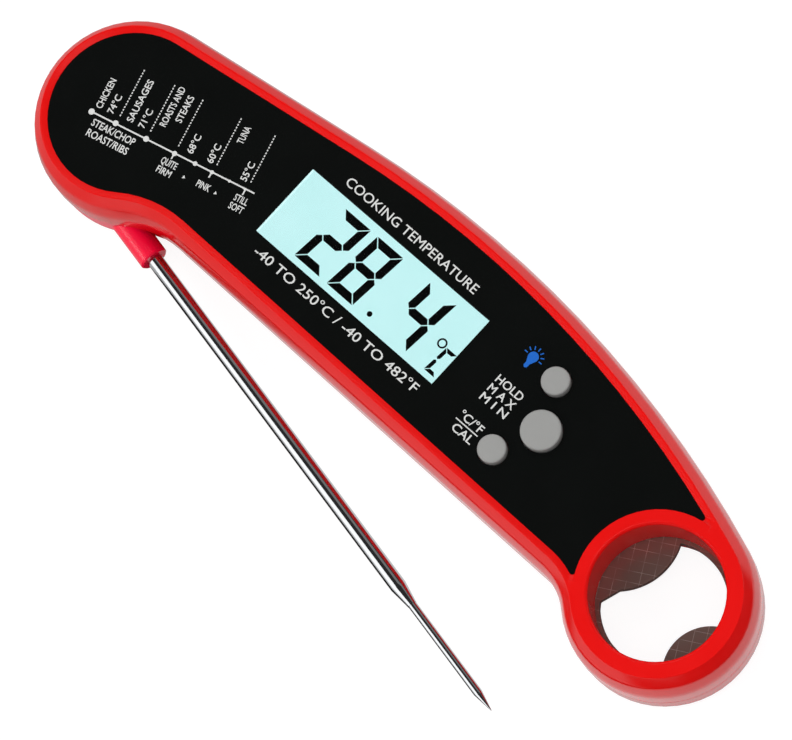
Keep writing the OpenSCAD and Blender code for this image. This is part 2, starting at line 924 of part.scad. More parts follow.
// Part of the hub's rim that stands flush with the side wall, behind the collar
module hub_rim() {
    low = hub_z + 2 * seat;
    high = hub_top - 2 * seat;
    inside = hub_r - 4;
    foot = 1.2;
    brow = 0.3;
    intersection() {
        rotate([0, 0, rim_wall_a[0]])
            rotate_extrude(angle = rim_wall_a[1] - rim_wall_a[0])
                polygon([[inside, low], [rim_wall_r - foot, low], [rim_wall_r, low + foot],
                         [rim_wall_r, high - brow], [rim_wall_r - brow, high], [inside, high]]);
        translate([0, -far, 0])
            cube([far, far - probe_offset + collar_r - run, part_z]);
    }
}

module hub_magnet() {
    color(nickel)
        on_probe()
            drill(hub_magnet_at, hub_magnet_r, probe_z + seat, hub_top - lap);
}

// Tube, tapered down to the thin end
module probe_tube() {
    end_r = tip_r + seat;
    color(steel)
        on_probe()
            turned_probe([[tube_bore_r, tube_x], [tube_r, tube_x], [tube_r, taper_x], [end_r, tip_x],
                          [end_r, tip_x - tip_lap], [tube_bore_r, taper_x - tip_wall]]);
}

// Thin closed end with a point
module probe_tip() {
    bore_r = tip_r - tip_wall;
    start = tip_x - tip_lap + 2 * seat;
    point_x = tip_end - point_l;
    blunt_r = 0.08;
    color(steel)
        on_probe()
            turned_probe([[bore_r, start], [tip_r, start], [tip_r, point_x], [blunt_r, tip_end],
                          [0, tip_end], [0, point_x + over], [bore_r, point_x - over]]);
}

module thermistor_bead() {
    color("#3B3A2E")
        on_probe()
            translate([bead_x, -probe_offset, probe_z])
                sphere(r = bead_r);
}

// Two wires, from the bead to the hub's wire chamber
module sensor_leads() {
    wire_r = 0.2;
    half_pitch = 0.28;
    color("#D9D3C2")
        on_probe()
            for (side = [-1, 1])
                translate([0, 0, side * half_pitch]) {
                    along_probe(wire_r, lead_x, bead_x - bead_r - 2 * seat);
                    translate([lead_x, -probe_offset, probe_z])
                        rotate([-90, 0, 0])
                            cylinder(r = wire_r, h = probe_offset - chamber_r[1] + 2 * lap);
                    translate([lead_x, -probe_offset, probe_z])
                        sphere(r = wire_r);
                }
}

// Key: domed cap with a rounded rim, a flange that keeps it in, a stem over its switch
module key(k) {
    cap_r = k[1];
    top = panel_z + key_rise;
    flange_r = cap_r + key_flange;
    flange_top = ceiling_z - 2 * seat;
    flange_low = flange_top - key_flange;
    stem_r = 1.2;
    stem_z = switch_top + seat + key_travel;
    round_r = 0.4;
    dome = 0.12;
    color("#A0A09E")
        translate([k[0].x, k[0].y, 0])
            rotate_extrude()
                polygon(concat([[0, stem_z], [stem_r, stem_z], [stem_r, flange_low], [flange_r, flange_low],
                                [flange_r, flange_top], [cap_r, flange_top]],
                               arc([cap_r - round_r, top - dome - round_r], round_r, 0, 80, 4),
                               [[cap_r / 2, top - dome / 4], [0, top]]));
}

module backlight_button() {
    key(light_key);
}

module hold_button() {
    key(hold_key);
}

module unit_button() {
    key(unit_key);
}

// Door: disc with a coin slot, three lugs and a seat for its seal
module battery_door() {
    plug_h = 1;
    slot = [16, 1.8, 1];
    color(red_abs)
        translate([battery_c.x, battery_c.y, 0])
            difference() {
                union() {
                    translate([0, 0, door_z])
                        cylinder(r = door_r, h = door_top - door_z);
                    for (i = [1:lug_count])
                        rotate([0, 0, i * 360 / lug_count])
                            door_lug(lug_r, lug_half_a, lug_z, door_top);
                    translate([0, 0, door_top - lap])
                        cylinder(r = door_plug_r, h = plug_h);
                }
                translate([-slot.x / 2, -slot.y / 2, door_z - over])
                    cube(slot + [0, 0, over]);
            }
}

module door_seal() {
    color(rubber)
        translate([battery_c.x, battery_c.y, 0])
            o_ring(door_seal_r, seal_r, door_top + seal_r);
}

front_housing();
rear_cover();
front_panel();
display_window();
lcd_cell();
light_guide();
backlight_leds();
lcd_holder();
elastomer_connector();
main_board();
controller_chip();
tact_switches();
board_screws();
reed_switch();
lead_harness();
coin_cell();
contact_positive();
contact_negative();
housing_gasket();
housing_screws();
back_magnets();
opener_plate();
pivot_screw();
pivot_washer();
pivot_seal();
probe_hub();
hub_magnet();
probe_tube();
probe_tip();
thermistor_bead();
sensor_leads();
backlight_button();
hold_button();
unit_button();
battery_door();
door_seal();
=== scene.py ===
# %% [markdown]
# # Folding meat thermometer with an opener ring
#
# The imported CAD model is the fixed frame: every shell, key, screw and the probe are already in
# their places, in metres. This script gives each of them its finish, adds what is printed on the
# face and shown on the display, and sets up a plain studio.

# %% Load the frame
import math

import bmesh
import bpy
from mathutils import Matrix, Vector


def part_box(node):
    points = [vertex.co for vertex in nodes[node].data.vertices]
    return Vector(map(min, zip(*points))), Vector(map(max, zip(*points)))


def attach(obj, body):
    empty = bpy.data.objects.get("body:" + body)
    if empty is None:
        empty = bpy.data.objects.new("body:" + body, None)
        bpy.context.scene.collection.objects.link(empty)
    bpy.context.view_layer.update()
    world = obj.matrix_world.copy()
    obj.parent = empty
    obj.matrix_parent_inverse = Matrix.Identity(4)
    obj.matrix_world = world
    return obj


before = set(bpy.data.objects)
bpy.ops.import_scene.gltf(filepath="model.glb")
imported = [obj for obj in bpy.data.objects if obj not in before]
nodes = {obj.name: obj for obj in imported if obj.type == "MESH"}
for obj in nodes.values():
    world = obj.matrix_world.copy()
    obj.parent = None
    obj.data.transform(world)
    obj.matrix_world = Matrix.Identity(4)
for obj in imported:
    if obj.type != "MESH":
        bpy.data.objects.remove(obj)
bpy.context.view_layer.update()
MM = 0.001

# %% [markdown]
# ## Camera
#
# The thermometer lies on its back and is seen from 19 degrees off the vertical. The camera leans
# towards the ring, and is rolled so that the body runs from the upper left to the lower right.
# Euler angles would do, but three vectors are easier to follow: `towards` points from the aim point
# to the camera, and `lean` and `across` span the picture before it is rolled.

# %% Axes of the picture
tilt, turn, roll = (math.radians(a) for a in (19.0, 13.0, 54.9))
table_way = Vector((math.cos(turn), -math.sin(turn), 0))
towards = math.sin(tilt) * table_way + math.cos(tilt) * Vector((0, 0, 1))
lean = (table_way - table_way.dot(towards) * towards).normalized()
across = towards.cross(lean)
right = math.cos(roll) * lean + math.sin(roll) * across
up = math.cos(roll) * across - math.sin(roll) * lean
print("camera looks along", [round(c, 3) for c in -towards])

# %% Camera
distance = 0.80
face_middle = Vector((74.6, -3.48, 17.55))
shift_right, shift_up = -0.169, 0.177
aim = (face_middle + shift_right * right + shift_up * up) * MM
camera = bpy.data.objects.new("camera", bpy.data.cameras.new("camera"))
bpy.context.scene.collection.objects.link(camera)
axes = Matrix((right, up, towards)).transposed().to_4x4()
camera.matrix_world = Matrix.Translation(aim + distance * towards) @ axes
picture_width, pixels_per_mm = 792, 5.423
camera.data.sensor_width = 36
camera.data.lens = pixels_per_mm * distance / MM / picture_width * camera.data.sensor_width
camera.data.clip_start, camera.data.clip_end = 0.01, 20
bpy.context.scene.camera = camera
print("lens in mm:", round(camera.data.lens, 1))

# %% [markdown]
# ## Nodes and colours
#
# Colours are written as sRGB hex, as they would be picked from a swatch, and turned into the
# linear values that the shaders take. One function adds a shader node: plain arguments are
# settings, the dictionary gives each input a value or a link to another node's output, and `stops`
# fills a colour ramp with greys.

# %% Helpers for materials
def linear(hex_colour):
    channels = [int(hex_colour[i:i + 2], 16) / 255 for i in (1, 3, 5)]
    return tuple(c / 12.92 if c <= 0.04045 else ((c + 0.055) / 1.055) ** 2.4
                 for c in channels) + (1.0,)


def add(tree, kind, inputs=None, stops=(), **settings):
    made = tree.nodes.new(kind)
    for name, value in settings.items():
        setattr(made, name, value)
    for name, value in (inputs or {}).items():
        if isinstance(value, bpy.types.NodeSocket):
            tree.links.new(value, made.inputs[name])
        else:
            made.inputs[name].default_value = value
    for _ in stops[2:]:
        made.color_ramp.elements.new(0.5)
    if stops:
        for element, (spot, level) in zip(made.color_ramp.elements, stops):
            element.position, element.color = spot, (level, level, level, 1)
    return made


print("mid grey is", round(linear("#808080")[0], 3))

# %% [markdown]
# ## Room
#
# Glossy plastic shows its form by what it mirrors. In reflections the room has a low white wall
# along each side of the thermometer, a dark ceiling and dark ends: faces that look up stay deep in
# colour, and the long bevels pick up white stripes. Softboxes would do the same, but a world that
# tells reflections apart keeps the light on all other surfaces even.

# %% World
world = bpy.data.worlds.new("studio")
bpy.context.scene.world = world
world.use_nodes = True
sky = world.node_tree
sky.nodes.clear()
# A way that points to the side and stays low scores high: its reach in Y less twice that in Z.
side_and_height = (0, 1, -2)
wall_stops = ((0.0, 0.03), (0.5, 0.03), (0.64, 0.9), (1.0, 0.95))
even_light = 0.45
way = add(sky, "ShaderNodeTexCoord").outputs["Generated"]
folded = add(sky, "ShaderNodeVectorMath", {0: way}, operation="ABSOLUTE")
lowness = add(sky, "ShaderNodeVectorMath", {0: folded.outputs[0], 1: side_and_height},
              operation="DOT_PRODUCT")
walls = add(sky, "ShaderNodeValToRGB", {"Fac": lowness.outputs["Value"]}, wall_stops)
white_walls = add(sky, "ShaderNodeBackground", {"Color": walls.outputs["Color"], "Strength": 1.0})
even = add(sky, "ShaderNodeBackground", {"Color": (1, 1, 1, 1), "Strength": even_light})
glossy = add(sky, "ShaderNodeLightPath").outputs["Is Glossy Ray"]
room = add(sky, "ShaderNodeMixShader", {0: glossy, 1: even.outputs[0], 2: white_walls.outputs[0]})
add(sky, "ShaderNodeOutputWorld", {"Surface": room.outputs[0]})
bpy.context.scene.view_settings.view_transform = "Standard"
print("world nodes:", len(sky.nodes))

# %% [markdown]
# ## Floor
#
# The floor looks white and takes the shadow. In reflections it is a white strip that grows dim
# towards the hinge head and ends beyond the ring, so steep walls mirror it. It is dark under the
# ring and beside the probe, where the thermometer shades it. A plain white floor would turn all
# the lower walls pale, so the strip and both shades are drawn from the place on the ground.

# %% Floor sheet
reach, below = 3.0, -0.2 * MM
floor_mesh = bpy.data.meshes.new("floor")
floor_mesh.from_pydata([(-reach, -reach, below), (reach, -reach, below), (reach, reach, below),
                        (-reach, reach, below)], [], [(0, 1, 2, 3)])
floor = bpy.data.objects.new("floor", floor_mesh)
bpy.context.scene.collection.objects.link(floor)
paint = bpy.data.materials.new("pale floor")
paint.use_nodes = True
floor_mesh.materials.append(paint)
print("floor in metres:", 2 * reach)

# %% Strip that ends beyond the ring, dark below it
tree = paint.node_tree
tree.nodes.clear()
strip_from, strip_to = -0.1, 0.2
strip_stops = ((0.0, 0.5), (0.27, 0.45), (0.53, 0.75), (0.91, 0.95), (0.97, 0.04))
ring_middle, ring_dark, ring_clear = Vector((139.3, -2.8, 0)) * MM, 14 * MM, 20 * MM
ring_level = 0.05
ground = add(tree, "ShaderNodeTexCoord").outputs["Object"]
ground_x = add(tree, "ShaderNodeSeparateXYZ", {0: ground}).outputs["X"]
strip_share = add(tree, "ShaderNodeMapRange", {"Value": ground_x, "From Min": strip_from,
                                               "From Max": strip_to})
strip = add(tree, "ShaderNodeValToRGB", {"Fac": strip_share.outputs["Result"]}, strip_stops)
from_ring = add(tree, "ShaderNodeVectorMath", {0: ground, 1: ring_middle}, operation="DISTANCE")
ring_shade = add(tree, "ShaderNodeMapRange", {"Value": from_ring.outputs["Value"],
                                              "From Min": ring_dark, "From Max": ring_clear,
                                              "To Min": ring_level})
strip_end = strip_from + strip_stops[-1][0] * (strip_to - strip_from)
print("strip ends at X in mm:", round(strip_end / MM, 1))

# %% Dark band beside the probe
probe_turn, probe_side = math.radians(10.9), 13.05 * MM
band_away, band_half, band_start, band_edge = 13 * MM, 12 * MM, 22 * MM, 3 * MM
band_level = 0.02
turned = add(tree, "ShaderNodeVectorRotate", {"Vector": ground, "Angle": probe_turn},
             rotation_type="Z_AXIS")
probe_way = add(tree, "ShaderNodeSeparateXYZ", {0: turned.outputs[0]}).outputs
from_middle = add(tree, "ShaderNodeMath", {0: probe_way["Y"], 1: probe_side + band_away},
                  operation="ADD")
beside = add(tree, "ShaderNodeMath", {0: from_middle.outputs[0]}, operation="ABSOLUTE")
past_side = add(tree, "ShaderNodeMath", {0: beside.outputs[0], 1: band_half}, operation="SUBTRACT")
past_start = add(tree, "ShaderNodeMath", {0: band_start, 1: probe_way["X"]}, operation="SUBTRACT")
past_band = add(tree, "ShaderNodeMath", {0: past_side.outputs[0], 1: past_start.outputs[0]},
                operation="MAXIMUM")
band_shade = add(tree, "ShaderNodeMapRange", {"Value": past_band.outputs[0], "From Min": 0.0,
                                              "From Max": band_edge, "To Min": band_level})
ringed = add(tree, "ShaderNodeMath", {0: strip.outputs["Color"], 1: ring_shade.outputs["Result"]},
             operation="MULTIPLY")
mirrored = add(tree, "ShaderNodeMath", {0: ringed.outputs[0], 1: band_shade.outputs["Result"]},
               operation="MULTIPLY")
print("dark band in mm:", round(2 * band_half / MM))

# %% Floor paint
seen_glow = 0.9
patches_across = 6.0
patchy = add(tree, "ShaderNodeTexNoise", {"Scale": patches_across, "Detail": 2.0}).outputs["Fac"]
tint = add(tree, "ShaderNodeMix", {"Factor": patchy, "A": linear("#767676"), "B": linear("#7A7A7A")},
           data_type="RGBA")
matt = add(tree, "ShaderNodeBsdfDiffuse", {"Color": tint.outputs["Result"]})
pale = add(tree, "ShaderNodeBsdfDiffuse", {"Color": linear("#C4C4C4")})
rays = add(tree, "ShaderNodeLightPath").outputs
glow = add(tree, "ShaderNodeMix", {"Factor": rays["Is Glossy Ray"], "A": seen_glow,
                                   "B": mirrored.outputs[0]})
white = add(tree, "ShaderNodeEmission", {"Color": (1, 1, 1, 1), "Strength": glow.outputs["Result"]})
seen = add(tree, "ShaderNodeMath", {0: rays["Is Camera Ray"], 1: rays["Is Transmission Ray"]},
           operation="MAXIMUM")
bright = add(tree, "ShaderNodeAddShader", {0: matt.outputs[0], 1: white.outputs[0]})
direct = add(tree, "ShaderNodeMixShader", {0: seen.outputs[0], 1: pale.outputs[0],
                                           2: bright.outputs[0]})
whole = add(tree, "ShaderNodeMixShader", {0: rays["Is Glossy Ray"], 1: direct.outputs[0],
                                          2: white.outputs[0]})
add(tree, "ShaderNodeOutputMaterial", {"Surface": whole.outputs[0]})
print("floor nodes:", len(tree.nodes))

# %% [markdown]
# ## Lamps
#
# Three soft lamps give light and shadow, and reflections leave them out, so the slopes beside the
# panel keep their colour. Three more put a white stripe and a faint grey one on the probe, and a
# highlight on its collar. Light linking lets these reach the named nodes only: one lamp for all
# would draw the same stripes over the whole body.

# %% Lamps
steel = ("probe_tube", "probe_tip")
for name, stand, size, power, lit_only in (
        ("soft_top", (0.36, -0.06, 1.0), (0.6, 0.6), 2.6, ()),
        ("soft_left", (-0.55, 0.5, 0.8), (0.9, 0.9), 3.5, ()),
        ("soft_front", (-0.25, -0.7, 0.7), (0.65, 0.65), 2.9, ()),
        ("probe_strip", (-0.24, -0.8, 0.55), (1.4, 0.85), 6.0, steel),
        ("probe_fill", (-0.24, 0.45, 0.84), (1.4, 0.4), 0.38, steel),
        ("collar_strip", (-0.32, -0.83, 0.46), (0.3, 0.35), 3.2, ("probe_hub",))):
    lamp = bpy.data.objects.new(name, bpy.data.lights.new(name, "AREA"))
    lamp.data.shape, lamp.data.energy = "RECTANGLE" if lit_only else "ELLIPSE", power
    lamp.data.size, lamp.data.size_y = size
    lamp.location = stand
    lamp.rotation_euler = (aim - Vector(stand)).to_track_quat("-Z", "Y").to_euler()
    bpy.context.scene.collection.objects.link(lamp)
    lamp.visible_glossy = bool(lit_only)
    if lit_only:
        lamp.light_linking.receiver_collection = bpy.data.collections.new(name)
    for node in lit_only:
        lamp.light_linking.receiver_collection.objects.link(nodes[node])
    print(name, "lights", ", ".join(lit_only) or "everything")

# %% [markdown]
# ## Finishes
#
# Most pieces here are moulded or stamped, so one recipe serves them: a Principled shader whose
# colour, roughness and surface height vary a little with noise of a size given in millimetres.
# The grain of a mould or a plating is a few hundredths of a millimetre, too fine to show, so it is
# drawn at about a tenth. `stretch` turns the pattern and draws it out along one way.

# %% The common recipe
def finish(name, dark, light, roughness, patch_mm=8.0, grain_mm=0.12, bump=0.02, stretch=None,
           **sockets):
    material = bpy.data.materials.new(name)
    material.use_nodes = True
    tree = material.node_tree
    tree.nodes.clear()
    spot = add(tree, "ShaderNodeTexCoord").outputs["Object"]
    if stretch:
        angle, factors = stretch
        lengthwise = add(tree, "ShaderNodeVectorRotate", {"Vector": spot, "Angle": angle},
                         rotation_type="Z_AXIS")
        spot = add(tree, "ShaderNodeVectorMath", {0: lengthwise.outputs[0], 1: factors},
                   operation="MULTIPLY").outputs[0]
    patches = add(tree, "ShaderNodeTexNoise", {"Vector": spot, "Scale": 1 / (patch_mm * MM),
                                               "Detail": 3.0}).outputs["Fac"]
    grains = add(tree, "ShaderNodeTexNoise", {"Vector": spot, "Scale": 1 / (grain_mm * MM),
                                              "Detail": 2.0}).outputs["Fac"]
    colour = add(tree, "ShaderNodeMix", {"Factor": patches, "A": linear(dark), "B": linear(light)},
                 data_type="RGBA")
    rough = add(tree, "ShaderNodeMapRange", {"Value": patches, "To Min": roughness[0],
                                             "To Max": roughness[1]})
    height = add(tree, "ShaderNodeBump", {"Height": grains, "Strength": bump,
                                          "Distance": grain_mm * MM})
    shader = add(tree, "ShaderNodeBsdfPrincipled", {"Base Color": colour.outputs["Result"],
                                                    "Roughness": rough.outputs["Result"],
                                                    "Normal": height.outputs["Normal"], **sockets})
    add(tree, "ShaderNodeOutputMaterial", {"Surface": shader.outputs["BSDF"]})
    return material


# %% [markdown]
# ### Plastics
#
# The shells, the panel and the keys are moulded or cut from plastic with an IOR near 1.5. A
# polished mould leaves a clear gloss, and an etched one a soft grain. The seals are silicone.

# %% Plastics outside
abs_ior, acrylic_ior = 1.53, 1.49
# From a polished mould: saturated red under a clear gloss.
red_abs = finish("moulded ABS red", "#EC0806", "#F00B09", (0.14, 0.19), bump=0.008, IOR=abs_ior)
# A cooler red with a wider, softer highlight.
crimson_abs = finish("moulded ABS crimson", "#EA0636", "#F0083C", (0.22, 0.27), bump=0.008,
                     IOR=abs_ior)
# Printed on the back of the sheet: a deep black behind a thin sheen.
panel_black = finish("printed acrylic black", "#090B0A", "#0D0F0E", (0.15, 0.2), IOR=acrylic_ior)
# From an etched mould: a fine matt grain without a highlight.
key_grey = finish("moulded ABS grey", "#9B9B99", "#A1A19F", (0.42, 0.5), grain_mm=0.08, bump=0.06,
                  IOR=abs_ior)
print("outer plastics:", [m.name for m in (red_abs, crimson_abs, panel_black, key_grey)])

# %% Plastics inside
# Matt white, which throws the backlight forward.
holder_white = finish("moulded ABS white", "#E2E2DF", "#EBEBE9", (0.4, 0.5), IOR=abs_ior)
# Dull black, as circuits are packed in.
chip_black = finish("moulded epoxy black", "#1A1A1C", "#202022", (0.5, 0.6), IOR=1.53)
# Milky white with a waxy sheen.
washer_acetal = finish("turned acetal", "#D2D3D4", "#DCDDDE", (0.35, 0.45), IOR=1.48)
# Soft dark grey that hardly shines.
seal_silicone = finish("moulded silicone", "#2B2C2E", "#343537", (0.55, 0.65), IOR=1.41)
# Green lacquer over a weave, which shows as a coarse grain.
board_epoxy = finish("glass epoxy board", "#145C30", "#1B6B3A", (0.35, 0.45), grain_mm=0.4,
                     IOR=1.55)
# Smooth red skin with a soft gloss.
wire_pvc = finish("insulated wire", "#B8362B", "#C4402F", (0.4, 0.5), IOR=1.53)
# A dark drop with a broad highlight.
bead_epoxy = finish("epoxy bead", "#332F22", "#3C3829", (0.3, 0.4), IOR=1.55)
# Pale yellow, from the phosphor under its face.
lamp_white = finish("moulded lamp package", "#F2EED2", "#F8F4DC", (0.3, 0.4), IOR=1.5)
print("inner plastics:", [m.name for m in (holder_white, chip_black, washer_acetal, seal_silicone,
                                           board_epoxy, wire_pvc, bead_epoxy, lamp_white)])

# %% [markdown]
# ### Metals
#
# A metal has a coloured reflection and no diffuse light, and keeps the default IOR. The probe is
# drawn through a die, so its pattern is stretched along it. The opener plate is dulled by wear, so
# it isn't metallic all through.

# %% Metals
metal = {"Metallic": 1.0}
# Nearly a mirror: long white and dark stripes with faint lines along the tube.
probe_steel = finish("drawn stainless steel", "#C6C8CA", "#D2D4D6", (0.08, 0.13), patch_mm=3.0,
                     grain_mm=0.15, bump=0.01, stretch=(probe_turn, (0.03, 1.0, 1.0)), **metal)
# Brownish grey: a painted reflection of the red ring around it, mixed into the steel's own grey.
plate_steel = finish("stamped stainless plate", "#9C867E", "#AE968C", (0.25, 0.33), Metallic=0.75)
# Bluish grey with a soft shine.
screw_steel = finish("zinc plated steel", "#B8BABC", "#C4C6C8", (0.25, 0.35), **metal)
# Warm bright silver.
cell_steel = finish("nickel plated can", "#C8C9C8", "#D2D3D2", (0.2, 0.3), **metal)
# Darker silver.
magnet_nickel = finish("nickel plated magnet", "#9A9C9E", "#A6A8AA", (0.2, 0.3), **metal)
# Dull gold.
contact_brass = finish("plated spring brass", "#B9964C", "#C9A85A", (0.25, 0.35), **metal)
print("metals:", [m.name for m in (probe_steel, plate_steel, screw_steel, cell_steel, magnet_nickel,
                                   contact_brass)])

# %% [markdown]
# The opener plate is stamped from sheet steel with a fine grid of raised lines, worn in places. A
# brick texture without offset draws such a grid: its mortar lines are the ridges, painted lighter as
# a highlight where they would catch the light. It goes between the recipe's colour and the shader.

# %% Grid on the opener plate
grid_turn = math.radians(-29)
cell_long_mm, cell_wide_mm, ridge_mm = 2.4, 2.1, 0.035
worn_mm, worn_away, worn_little = 3, 0.35, 0.6
tree = plate_steel.node_tree
shader = next(n for n in tree.nodes if n.type == "BSDF_PRINCIPLED")
sheet = shader.inputs["Base Color"].links[0].from_socket
on_plate = add(tree, "ShaderNodeTexCoord").outputs["Object"]
on_grid = add(tree, "ShaderNodeVectorRotate", {"Vector": on_plate, "Angle": grid_turn},
              rotation_type="Z_AXIS")
grid = add(tree, "ShaderNodeTexBrick", {"Vector": on_grid.outputs[0], "Scale": 1 / MM,
                                        "Brick Width": cell_long_mm, "Row Height": cell_wide_mm,
                                        "Mortar Size": ridge_mm}, offset=0.0)
wear = add(tree, "ShaderNodeTexNoise", {"Vector": on_plate, "Scale": 1 / (worn_mm * MM),
                                        "Detail": 2.0})
kept = add(tree, "ShaderNodeMapRange", {"Value": wear.outputs["Fac"], "From Min": worn_away,
                                        "From Max": worn_little})
# Painted highlight: the raised lines get a lighter colour, as if they caught the light.
ridge_highlight = add(tree, "ShaderNodeMath", {0: grid.outputs["Fac"], 1: kept.outputs["Result"]},
             operation="MULTIPLY")
ridge_lit = add(tree, "ShaderNodeMix", {"Factor": ridge_highlight.outputs[0], "A": sheet,
                                     "B": linear("#F2E6DE")}, data_type="RGBA")
tree.links.new(ridge_lit.outputs["Result"], shader.inputs["Base Color"])
print("grid in mm:", cell_long_mm, "by", cell_wide_mm)

# %% [markdown]
# ### Clear pieces
#
# The window, the light guide and the reed switch let light through, so the recipe gets full
# transmission and no grain. The display is lit from below. Real light through guide and cell
# would be slow and noisy, so the cell itself glows a pale cyan.

# %% Clear pieces and the lit display
clear = {"Transmission Weight": 1.0}
# Polished sheet: clear, with a faint mirror image.
window_clear = finish("clear acrylic", "#F4FBFA", "#FFFFFF", (0.02, 0.04), bump=0.0,
                      IOR=acrylic_ior, **clear)
# A little greener and duller, as it is moulded.
guide_clear = finish("clear acrylic guide", "#EEF4EE", "#F6FAF6", (0.05, 0.1), bump=0.0,
                     IOR=acrylic_ior, **clear)
# Pale green tube with soft ends.
reed_glass = finish("sealed glass", "#A9C8BA", "#B9D6C8", (0.05, 0.1), bump=0.0, IOR=1.5, **clear)
# Even cyan light without a shine.
lcd_glass = finish("lit display glass", "#3E5A59", "#425E5D", (0.3, 0.4), patch_mm=30.0, bump=0.0,
                   **{"IOR": 1.52, "Emission Color": linear("#CCF9FA"), "Emission Strength": 0.98})
print("clear pieces:", [m.name for m in (window_clear, guide_clear, reed_glass, lcd_glass)])

# %% [markdown]
# Each node takes one finish, as each real piece is made of one material. The CAD meshes come with
# plain slots, which are cleared first.

# %% Give the nodes their finishes
finishes = {
    red_abs: ("front_housing", "rear_cover", "battery_door"),
    crimson_abs: ("probe_hub",),
    panel_black: ("front_panel",),
    key_grey: ("backlight_button", "hold_button", "unit_button"),
    window_clear: ("display_window",),
    lcd_glass: ("lcd_cell",),
    guide_clear: ("light_guide",),
    holder_white: ("lcd_holder",),
    lamp_white: ("backlight_leds",),
    chip_black: ("controller_chip", "tact_switches"),
    washer_acetal: ("pivot_washer",),
    seal_silicone: ("housing_gasket", "pivot_seal", "door_seal", "elastomer_connector"),
    board_epoxy: ("main_board",),
    wire_pvc: ("lead_harness", "sensor_leads"),
    bead_epoxy: ("thermistor_bead",),
    probe_steel: ("probe_tube", "probe_tip"),
    plate_steel: ("opener_plate",),
    screw_steel: ("housing_screws", "board_screws", "pivot_screw"),
    cell_steel: ("coin_cell",),
    magnet_nickel: ("back_magnets", "hub_magnet"),
    contact_brass: ("contact_positive", "contact_negative"),
    reed_glass: ("reed_switch",),
}
for material, names in finishes.items():
    for name in names:
        nodes[name].data.materials.clear()
        nodes[name].data.materials.append(material)
print("finished nodes:", sum(len(n) for n in finishes.values()), "of", len(nodes))

# %% [markdown]
# ## Smooth shading
#
# The CAD meshes come with flat facets. A small geometry-nodes modifier welds each mesh and shades
# it smooth, except along edges sharper than a limit. A weighted-normal modifier then keeps the
# large flat faces flat. The meshes themselves stay as they are.

# %% Smooth by angle
sharp_from, weld_distance = math.radians(32), 0.001 * MM
smooth = bpy.data.node_groups.new("smooth by angle", "GeometryNodeTree")
for way_through in ("INPUT", "OUTPUT"):
    smooth.interface.new_socket("Geometry", in_out=way_through, socket_type="NodeSocketGeometry")
source = add(smooth, "NodeGroupInput")
plain = add(smooth, "GeometryNodeRemoveAttribute", {"Geometry": source.outputs[0],
                                                    "Name": "custom_normal"})
welded = add(smooth, "GeometryNodeMergeByDistance", {"Geometry": plain.outputs[0],
                                                     "Distance": weld_distance})
soft = add(smooth, "GeometryNodeSetShadeSmooth", {"Geometry": welded.outputs[0],
                                                  "Shade Smooth": True}, domain="FACE")
bend = add(smooth, "GeometryNodeInputMeshEdgeAngle")
sharp = add(smooth, "FunctionNodeCompare", {0: bend.outputs["Unsigned Angle"], 1: sharp_from},
            data_type="FLOAT", operation="GREATER_THAN")
edged = add(smooth, "GeometryNodeSetShadeSmooth", {"Geometry": soft.outputs[0],
                                                   "Selection": sharp.outputs[0],
                                                   "Shade Smooth": False}, domain="EDGE")
add(smooth, "NodeGroupOutput", {0: edged.outputs[0]})
for node in nodes.values():
    node.modifiers.new("smooth by angle", "NODES").node_group = smooth
    weighted = node.modifiers.new("weighted normals", "WEIGHTED_NORMAL")
    weighted.mode, weighted.keep_sharp = "FACE_AREA", True
print("smoothed nodes:", len(nodes))

# %% [markdown]
# ## Flat shapes
#
# The print and the display's segments are thin prisms: an outline in millimetres, raised between
# two heights, so each is a closed mesh. A list of outlines becomes one piece. An image texture
# would be flat and would need a file; prisms keep a crisp edge from near by.

# %% Pieces from meshes
def piece(name, mesh, material, body):
    data = bpy.data.meshes.new(name)
    mesh.to_mesh(data)
    mesh.free()
    data.materials.append(material)
    made = bpy.data.objects.new(name, data)
    bpy.context.scene.collection.objects.link(made)
    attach(made, body)
    print(name, "has", len(data.polygons), "faces")


# %% Prisms from outlines
def prisms(name, outlines, low, high, material, body="housing"):
    mesh = bmesh.new()
    for outline in outlines:
        bottom = [mesh.verts.new(Vector((x, y, low)) * MM) for x, y in outline]
        top = [mesh.verts.new(Vector((x, y, high)) * MM) for x, y in outline]
        mesh.faces.new(reversed(bottom))
        mesh.faces.new(top)
        for i, a in enumerate(bottom):
            b = (i + 1) % len(bottom)
            mesh.faces.new((a, bottom[b], top[b], top[i]))
    bmesh.ops.recalc_face_normals(mesh, faces=mesh.faces)
    piece(name, mesh, material, body)


def bar(start, end, width):
    a, b = Vector(start), Vector(end)
    side = Vector((a.y - b.y, b.x - a.x)).normalized() * width / 2
    return [tuple(p) for p in (a - side, b - side, b + side, a + side)]


def heading(degrees):
    return Vector((math.cos(math.radians(degrees)), math.sin(math.radians(degrees))))


def disc(centre, radius, count=20):
    return [(centre[0] + radius * math.cos(2 * math.pi * i / count),
             centre[1] + radius * math.sin(2 * math.pi * i / count)) for i in range(count)]


# %% [markdown]
# ## Display segments
#
# Seven-segment figures lean a little to the right. Each segment is a bar with slanted ends, and
# its neighbours stop a fine gap short of it. The figures sit on the glass, under the clear window.
# Only the lit segments are made.

# %% Shape of a figure
SEGMENTS = {"2": "abged", "8": "abcdefg", "4": "fgbc", "C": "afed"}


